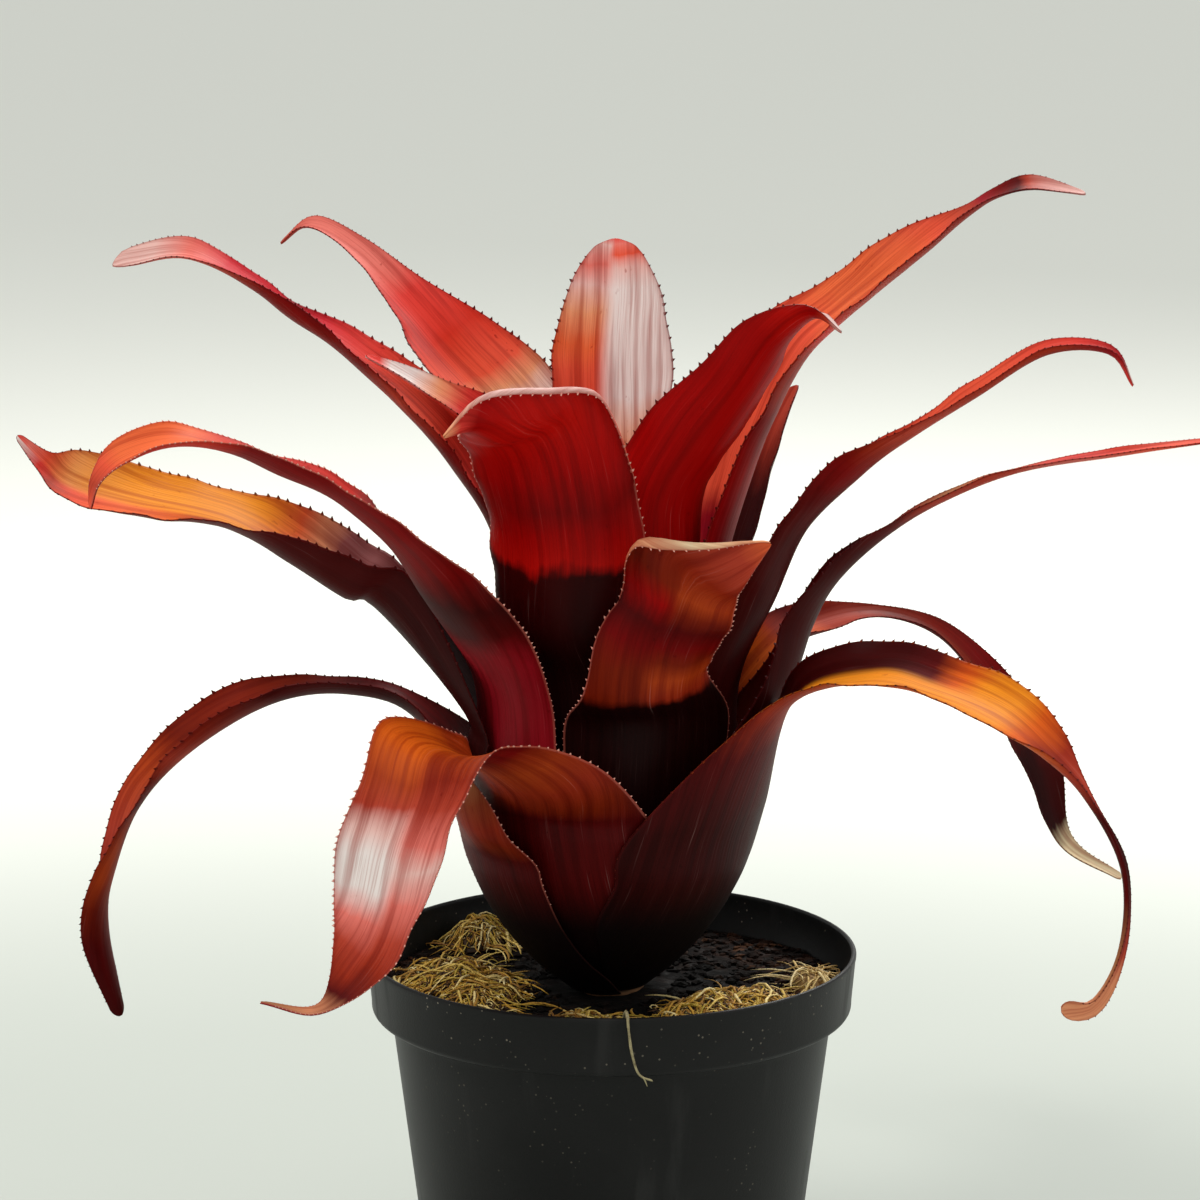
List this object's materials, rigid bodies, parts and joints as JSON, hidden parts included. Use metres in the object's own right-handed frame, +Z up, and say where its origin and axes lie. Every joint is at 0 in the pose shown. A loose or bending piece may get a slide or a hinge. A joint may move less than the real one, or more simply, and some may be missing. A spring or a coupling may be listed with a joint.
{
  "type": "potted hohenbergia",
  "caption": "Potted hohenbergia: a funnel-shaped rosette of arching red strap leaves with spiny margins, growing in a round black nursery pot topped with moss.",
  "frame": {"origin": "centre of the pot's flat underside", "axes": "+Z up along the pot's axis; the plant's front, as in the picture, faces -Y and +X is to its right"},
  "size_m": [0.3659, 0.2789, 0.3705],
  "materials": {
    "pot": "satin",
    "potting_mix": "matte",
    "stem": "matte",
    "moss": "matte",
    "straw": "matte",
    "root": "matte",
    "leaf_red": "satin",
    "leaf_orange": "satin",
    "leaf_pink": "satin"
  },
  "bodies": {
    "root": {"pot": "pot", "potting_mix": "potting_mix", "stem": "stem", "moss_left": "moss", "moss_front": "moss", "moss_right": "moss", "straw_right_edge": "straw", "moss_back_left": "moss", "loose_root": "root", "leaf_basal_stub": "leaf_orange", "leaf_left_drooping": "leaf_red", "leaf_right_drooping": "leaf_orange", "leaf_front_drooping": "leaf_orange", "leaf_right_twisted": "leaf_red", "leaf_back_low": "leaf_red", "leaf_left_broad": "leaf_orange", "leaf_right_long": "leaf_red", "leaf_left_arching": "leaf_red", "leaf_front_short": "leaf_red", "leaf_right_middle": "leaf_red", "leaf_back_low_right": "leaf_red", "leaf_front_upright": "leaf_red", "leaf_back_low_left": "leaf_red", "leaf_left_upper": "leaf_red", "leaf_back_right_short": "leaf_red", "leaf_back_left": "leaf_pink", "leaf_right_upper": "leaf_red", "leaf_right_upright": "leaf_red", "leaf_back_center": "leaf_pink", "leaf_inner_left": "leaf_pink"}
  },
  "joints": []
}
